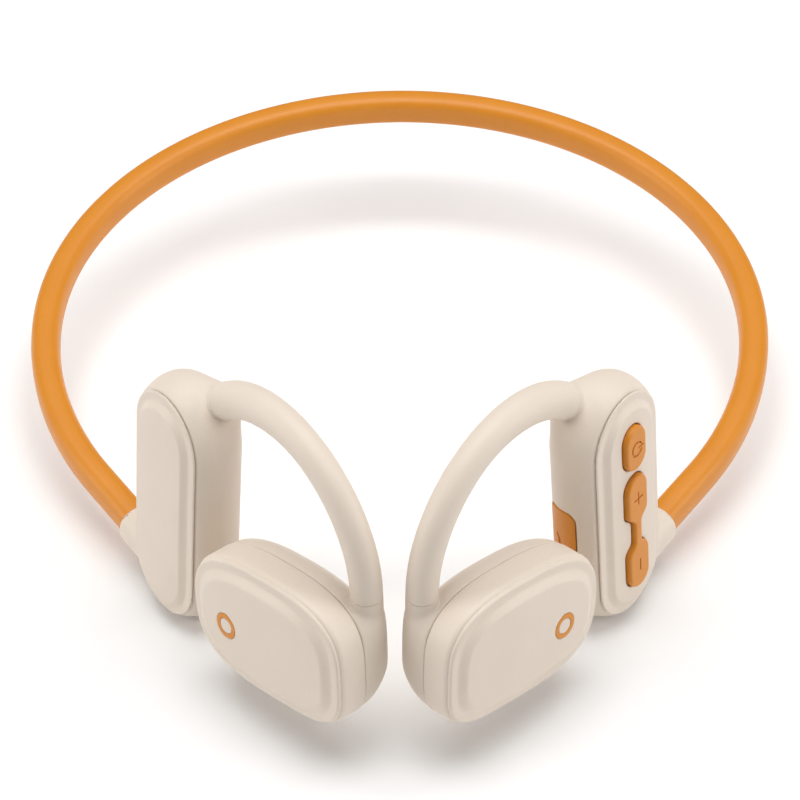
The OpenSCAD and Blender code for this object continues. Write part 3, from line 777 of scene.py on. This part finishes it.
def moulded(name, colour, shade, rough, grain_mm, grain_depth, sheen=0.0):
    """Moulded plastic or silicone: fine grain, faint colour drift, and edges rubbed smoother."""
    material, tree, shader = nodes_of(name)
    drift = noise(tree, DRIFT_MM)
    speck = noise(tree, SPECK_MM)
    mix = node(tree, "ShaderNodeMix", data_type="RGBA")
    mix.inputs["A"].default_value = (*colour, 1)
    mix.inputs["B"].default_value = (*shade, 1)
    both = node(tree, "ShaderNodeMath", operation="ADD")
    tree.links.new(span(tree, drift.outputs["Fac"], 0.3, 0.7, 0, 0.6), both.inputs[0])
    tree.links.new(span(tree, speck.outputs["Fac"], 0.4, 0.6, 0, 0.4), both.inputs[1])
    tree.links.new(both.outputs[0], mix.inputs["Factor"])
    tree.links.new(mix.outputs["Result"], shader.inputs["Base Color"])
    geometry = node(tree, "ShaderNodeNewGeometry")
    polish = span(tree, geometry.outputs["Pointiness"], 0.5, 0.6, 0, 0.1)
    base = span(tree, speck.outputs["Fac"], 0.35, 0.65, rough - 0.03, rough + 0.03)
    less = node(tree, "ShaderNodeMath", operation="SUBTRACT")
    tree.links.new(base, less.inputs[0])
    tree.links.new(polish, less.inputs[1])
    tree.links.new(less.outputs[0], shader.inputs["Roughness"])
    shader.inputs["Specular IOR Level"].default_value = 0.4
    shader.inputs["Sheen Weight"].default_value = sheen
    shader.inputs["Sheen Roughness"].default_value = 0.4
    grain = noise(tree, grain_mm)
    bump(tree, shader, grain.outputs["Fac"], grain_depth)
    return material


def metal(name, colour, rough, stretch=(1, 1, 1)):
    """Bare metal with fine marks, drawn out along an axis where stretch differs."""
    material, tree, shader = nodes_of(name)
    shader.inputs["Metallic"].default_value = 1.0
    place = node(tree, "ShaderNodeTexCoord")
    mapping = node(tree, "ShaderNodeMapping")
    mapping.inputs["Scale"].default_value = stretch
    texture = node(tree, "ShaderNodeTexNoise", Scale=4000.0, Detail=4.0)
    tree.links.new(place.outputs["Object"], mapping.inputs["Vector"])
    tree.links.new(mapping.outputs["Vector"], texture.inputs["Vector"])
    tone = node(tree, "ShaderNodeMix", data_type="RGBA")
    tone.inputs["A"].default_value = (*[c * 0.85 for c in colour], 1)
    tone.inputs["B"].default_value = (*colour, 1)
    tree.links.new(texture.outputs["Fac"], tone.inputs["Factor"])
    tree.links.new(tone.outputs["Result"], shader.inputs["Base Color"])
    tree.links.new(span(tree, texture.outputs["Fac"], 0.3, 0.7, rough - 0.08, rough + 0.08),
                   shader.inputs["Roughness"])
    bump(tree, shader, texture.outputs["Fac"], 0.004)
    return material


def board():
    """Solder mask over faint tracks."""
    material, tree, shader = nodes_of("solder_mask")
    place = node(tree, "ShaderNodeTexCoord")
    tracks = node(tree, "ShaderNodeTexBrick", Scale=350.0)
    tracks.inputs["Color1"].default_value = (0.01, 0.12, 0.05, 1)
    tracks.inputs["Color2"].default_value = (0.012, 0.14, 0.06, 1)
    tracks.inputs["Mortar"].default_value = (0.03, 0.24, 0.10, 1)
    tree.links.new(place.outputs["Object"], tracks.inputs["Vector"])
    tree.links.new(tracks.outputs["Color"], shader.inputs["Base Color"])
    shader.inputs["Roughness"].default_value = 0.3
    bump(tree, shader, tracks.outputs["Fac"], 0.02)
    return material


def wound_copper():
    """Enamelled wire, wound close, with painted shade darkening the copper in bands between the turns."""
    material, tree, shader = nodes_of("wound_copper")
    place = node(tree, "ShaderNodeTexCoord")
    turns = node(tree, "ShaderNodeTexWave", Scale=1800.0, Distortion=0.4)
    tree.links.new(place.outputs["Object"], turns.inputs["Vector"])
    # Painted shade: the wave mixes a darker copper into the grooves between the turns
    tone = node(tree, "ShaderNodeMix", data_type="RGBA")
    tone.inputs["A"].default_value = (0.35, 0.12, 0.04, 1)
    tone.inputs["B"].default_value = (0.75, 0.33, 0.14, 1)
    tree.links.new(turns.outputs["Fac"], tone.inputs["Factor"])
    tree.links.new(tone.outputs["Result"], shader.inputs["Base Color"])
    shader.inputs["Metallic"].default_value = 0.9
    shader.inputs["Roughness"].default_value = 0.3
    bump(tree, shader, turns.outputs["Fac"], 0.05)
    return material


BEIGE = (0.787, 0.684, 0.580)
BEIGE_SHADE = (0.762, 0.658, 0.553)
ORANGE = (0.708, 0.261, 0.020)
ORANGE_SHADE = (0.674, 0.240, 0.017)

shell_look = moulded("shell_plastic", BEIGE, BEIGE_SHADE, 0.46, 0.12, 0.004, 0.05)
hook_look = moulded("hook_silicone", BEIGE, BEIGE_SHADE, 0.50, 0.16, 0.005, 0.08)
pad_look = moulded("pad_silicone", (0.73, 0.60, 0.49), (0.69, 0.56, 0.45), 0.58, 0.3, 0.012, 0.1)
band_look = moulded("band_silicone", ORANGE, ORANGE_SHADE, 0.42, 0.16, 0.005, 0.04)
key_look = moulded("key_plastic", ORANGE, ORANGE_SHADE, 0.42, 0.12, 0.004, 0.04)
cable_look = moulded("cable_jacket", (0.02, 0.02, 0.022), (0.03, 0.03, 0.032), 0.5, 0.2, 0.01)
seal_look = moulded("seal_rubber", (0.03, 0.03, 0.032), (0.045, 0.045, 0.05), 0.6, 0.2, 0.01)
chip_look = moulded("chip_epoxy", (0.015, 0.015, 0.017), (0.03, 0.03, 0.03), 0.55, 0.1, 0.01)
foam_look = moulded("foam", (0.04, 0.04, 0.045), (0.09, 0.09, 0.1), 0.9, 0.5, 0.2)
steel_look = metal("nickel_steel", (0.66, 0.65, 0.62), 0.3)
wire_look = metal("spring_titanium", (0.55, 0.53, 0.50), 0.32, (1, 1, 8))
magnet_look = metal("magnet_nickel", (0.50, 0.50, 0.52), 0.22)
foil_look = metal("battery_foil", (0.75, 0.76, 0.78), 0.38, (6, 1, 1))
board_look = board()
copper_look = wound_copper()
SLOT_LOOKS = {
    "band_silicone": band_look, "shell_plastic": shell_look, "hook_silicone": hook_look,
    "key_plastic": key_look, "spring_titanium": wire_look, "cable_jacket": cable_look,
    "seal_rubber": seal_look, "nickel_steel": steel_look, "magnet_nickel": magnet_look,
    "coil_copper": copper_look, "board_mask": board_look, "chip_epoxy": chip_look,
    "battery_foil": foil_look, "foam": foam_look, "pad_silicone": pad_look,
}
slot_of = {s["node"]: s["material_slot"] for s in frame["record"]["subparts"]}


def dress(piece, cad_node, *stands_for):
    """Gives a piece the look and the slot of a CAD node, which it stands for with any others."""
    piece.data.materials.append(SLOT_LOOKS[slot_of[cad_node]])
    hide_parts(cad_node, *stands_for)
    return piece


for cad_name, cad_object in frame["nodes"].items():
    cad_object.data.materials.clear()
    cad_object.data.materials.append(SLOT_LOOKS[slot_of[cad_name]])

# ---------- moulded pieces ----------
SIDES = (("left", False), ("right", True))
# Mesh cells, finer for small pieces
SHELL_CELL = 0.3
BACK_CELL = 0.25
COVER_CELL = 0.2
PAD_CELL = 0.2
FACE_CELL = 0.19
FLAP_CELL = 0.14
ROCKER_CELL = 0.12
KEY_CELL = 0.11
RING_CELL = 0.1


def place_solid(name, body, field, place, low, high, cell, cad_node, mirrored=False):
    """Meshes a field inside the box from low to high, and puts it in a CAD node's place."""
    made = solid(field, place, low, high, cell)
    if mirrored:
        made = other_side(*made)
    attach(dress(new_piece(name, *made), cad_node), body)


POD_LOW = (-14.5, -0.6, -25.0)
POD_HIGH = (16.5, 13.2, 30.0)
place_solid("control_pod_casing", "left_arm", lambda p: pod_shell(p, True), pod,
            POD_LOW, POD_HIGH, SHELL_CELL, "control_pod_shell")
place_solid("battery_pod_casing", "right_arm", lambda p: pod_shell(p, False), pod,
            POD_LOW, POD_HIGH, SHELL_CELL, "battery_pod_shell", True)
COVER_X = POD_R + 0.4
COVER_Z = POD_R + POD_ENDS + 0.4
COVER_LOW = (-COVER_X, -2.4, -COVER_Z)
COVER_HIGH = (COVER_X, 2.3, COVER_Z)
place_solid("control_pod_front", "left_arm", lambda p: pod_cover(p, True), pod,
            COVER_LOW, COVER_HIGH, COVER_CELL, "control_pod_cover")
place_solid("battery_pod_front", "right_arm", lambda p: pod_cover(p, False), pod,
            COVER_LOW, COVER_HIGH, COVER_CELL, "battery_pod_cover", True)
KEY_X = BUTTON_W / 2 + 0.9
POWER_REACH = POWER_H / 2 + 0.9
ROCKER_REACH = ROCKER_H / 2 + 0.9
FLAP_REACH = FLAP_H / 2 + 0.5
place_solid("power_key_cap", "power_key", power_button, pod,
            (BUTTON_X - KEY_X, BUTTON_TOP - 0.3, POWER_Z - POWER_REACH),
            (BUTTON_X + KEY_X, 0.6, POWER_Z + POWER_REACH), KEY_CELL, "power_button")
place_solid("volume_key_cap", "volume_key", volume_rocker, pod,
            (BUTTON_X - KEY_X, BUTTON_TOP - 0.3, ROCKER_Z - ROCKER_REACH),
            (BUTTON_X + KEY_X, 0.9, ROCKER_Z + ROCKER_REACH), ROCKER_CELL, "volume_rocker")
place_solid("port_flap_cover", "port_flap", port_cover, pod,
            (-12.0, 3.0, FLAP_Z - FLAP_REACH), (-5.0, 12.0, FLAP_Z + FLAP_REACH), FLAP_CELL,
            "charging_port_cover")

OVAL_X = SPEAKER_A + 0.6
OVAL_Z = SPEAKER_B + 0.6
RING_REACH = RING_R + RING_HALF + 0.5
PAD_X = PAD_W / 2 + 0.8
PAD_Z = PAD_H / 2 + 0.8
for side, mirrored in SIDES:
    shell_body = f"{side}_speaker"
    place_solid(f"{side}_face_panel", shell_body, speaker_face, speaker,
                (-OVAL_X, -2.4, -OVAL_Z), (OVAL_X, 0.8, OVAL_Z), FACE_CELL,
                f"{side}_speaker_face", mirrored)
    place_solid(f"{side}_side_ring", shell_body, speaker_side, speaker,
                (-OVAL_X, -0.4, -OVAL_Z), (OVAL_X, BACK_SEAM + 0.4, OVAL_Z), BACK_CELL,
                f"{side}_speaker_side_band", mirrored)
    place_solid(f"{side}_back_casing", shell_body, speaker_back, speaker,
                (-OVAL_X - 2, BACK_SEAM - 0.4, -OVAL_Z - 1.5),
                (OVAL_X, SPEAKER_DEPTH + 2.4, OVAL_Z + 1.5), BACK_CELL,
                f"{side}_speaker_back_shell", mirrored)
    place_solid(f"{side}_ring_inlay", shell_body, face_ring, speaker,
                (RING_AT[0] - RING_REACH, -2.8, RING_AT[1] - RING_REACH),
                (RING_AT[0] + RING_REACH, 0.2, RING_AT[1] + RING_REACH), RING_CELL,
                f"{side}_face_ring", mirrored)
    place_solid(f"{side}_cheek_pad", f"{side}_vibrator", contact_pad, speaker,
                (-PAD_X, SPEAKER_DEPTH - 2.2, -PAD_Z), (PAD_X, SPEAKER_DEPTH + 1.4, PAD_Z), PAD_CELL,
                f"{side}_contact_pad", mirrored)

# ---------- band and hooks ----------------------
WIRE_R = 0.5
WIRE_OFFSET = 0.7
WIRE_COUNT = 12
HOOK_COUNT = 44
BAND_COUNT = 48
# Stretches measured from the band's and a hook's hinges
BEND_BEFORE = 29
BEND_AFTER = 62
HOOK_BEND = 12
# How far the hook's wires run on at each end, and the gap left at a seam
HOOK_PLUG = 5
SEAM_GAP = 0.03


def place_swept(name, made, cad_nodes, mirrored, bodies, start, end):
    """Puts a swept piece in a CAD node's place; bodies, start and end are not used."""
    if mirrored:
        points, faces, _ = other_side(*made)
        made = (points, faces)
        start, end = [(-v[0], v[1], v[2]) for v in (start, end)]
    piece = dress(new_piece(name, *made), *cad_nodes)
    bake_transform(piece)


band_points = band_half(BAND_IN - SEAM_GAP)
band_plug_points = band_half(BAND_PLUG)
band_section = rounded(BAND_THICK / 2, BAND_TALL / 2, BAND_SQUARE, BAND_COUNT)
bend_way = unit(band_point(hinge_angle + 0.02) - band_point(hinge_angle - 0.02))
bend_start = hinge - BEND_BEFORE * bend_way
bend_end = hinge + BEND_AFTER * bend_way
hook_points = hook_path(HOOK_SEAM + SEAM_GAP, 0)
hook_wire_points = hook_path(-HOOK_PLUG, HOOK_PLUG)
hook_hinge = np.array(joints["left_hook_flex"]["pos_m"]) / MM
turn_way = unit(-hook_level - np.array([0, 0, 1.0]))
turn = (hook_hinge - HOOK_BEND * turn_way, hook_hinge + HOOK_BEND * turn_way)


def hook_section(share):
    radius = HOOK_ROOT_R + (HOOK_END_R - HOOK_ROOT_R) * ramp(share, 0, 0.55)
    return circle(radius, HOOK_COUNT)


def offset_line(offset):
    """Section of a wire that runs beside the path."""
    return lambda share: circle(WIRE_R, WIRE_COUNT) + np.array([0, offset])


for side, mirrored in SIDES:
    arm = f"{side}_arm"
    bend = ("band", arm)
    tube = sweep(band_points, BAND_UP, lambda share: band_section, 0, CHANNEL_R)
    place_swept(f"neck_band_{side}", tube, ("neck_band",), mirrored, bend, bend_start, bend_end)
    for name, node_name, offset in (("spring_wire", "band_spring_wire", WIRE_OFFSET),
                                    ("band_cable", "band_cable", -WIRE_OFFSET)):
        line = sweep(band_plug_points, BAND_UP, offset_line(offset), 0.1)
        place_swept(f"{name}_{side}", line, (node_name,), mirrored, bend, bend_start, bend_end)
    flex = (arm, f"{side}_speaker")
    tube = sweep(hook_points, HOOK_UP, hook_section, 0.1, CHANNEL_R)
    place_swept(f"{side}_hook_tube", tube, (f"{side}_ear_hook",), mirrored, flex, *turn)
    for name, offset in (("wire", WIRE_OFFSET), ("cable", -WIRE_OFFSET)):
        line = sweep(hook_wire_points, HOOK_UP, offset_line(offset), 0.1)
        place_swept(f"{side}_hook_{name}_line", line, (f"{side}_hook_{name}",), mirrored,
                    flex, *turn)

# ---------- floor, light and camera ----------
def floor():
    mesh = bpy.data.meshes.new("floor")
    half = 4.0
    mesh.from_pydata([(-half, -half, 0), (half, -half, 0), (half, half, 0), (-half, half, 0)],
                     [], [(0, 1, 2, 3)])
    made = bpy.data.objects.new("floor", mesh)
    bpy.context.scene.collection.objects.link(made)
    material, tree, shader = nodes_of("floor_paper")
    shader.inputs["Base Color"].default_value = (0.98, 0.98, 0.98, 1)
    shader.inputs["Roughness"].default_value = 0.9
    shader.inputs["Specular IOR Level"].default_value = 0.1
    mesh.materials.append(material)


def area_light(name, at, aim, size, watts):
    data = bpy.data.lights.new(name, "AREA")
    data.shape = "RECTANGLE"
    data.size, data.size_y = size
    data.energy = watts
    light = bpy.data.objects.new(name, data)
    light.location = at
    light.rotation_euler = (Vector(aim) - Vector(at)).to_track_quat("-Z", "Y").to_euler()
    bpy.context.scene.collection.objects.link(light)


CAMERA_RISE = math.radians(40)
CAMERA_FAR = 0.520
CAMERA_AIM = Vector((0, -0.01237, 0.02270))
CAMERA_LENS = 128.7
# The camera stands a little to the right; its view is slid back to the left and lifted
CAMERA_RIGHT = 0.0063
VIEW_SLIDE = -0.041
VIEW_LIFT = 0.0017

floor()
area_light("overhead", (0.0, 0.05, 0.9), (0, 0, 0), (0.9, 0.7), watts=7.5)
area_light("left_side", (-0.85, -0.15, 0.35), (0, 0, 0.02), (0.4, 0.7), watts=3.0)
area_light("right_side", (0.85, -0.15, 0.35), (0, 0, 0.02), (0.4, 0.7), watts=3.2)
world = bpy.data.worlds.new("studio")
world.use_nodes = True
ambient = world.node_tree.nodes["Background"]
ambient.inputs["Color"].default_value = (1, 1, 1, 1)
ambient.inputs["Strength"].default_value = 0.15
bpy.context.scene.world = world
bpy.context.scene.view_settings.view_transform = "Standard"

lens = bpy.data.cameras.new("camera")
lens.sensor_width = 36
lens.lens = CAMERA_LENS
lens.shift_x = VIEW_SLIDE
lens.shift_y = VIEW_LIFT
lens.clip_start = 0.01
lens.clip_end = 20
camera = bpy.data.objects.new("camera", lens)
back = Vector((0, -math.cos(CAMERA_RISE), math.sin(CAMERA_RISE)))
camera.location = CAMERA_AIM + CAMERA_FAR * back + Vector((CAMERA_RIGHT, 0, 0))
camera.rotation_euler = (-back).to_track_quat("-Z", "Y").to_euler()
bpy.context.scene.collection.objects.link(camera)
bpy.context.scene.camera = camera
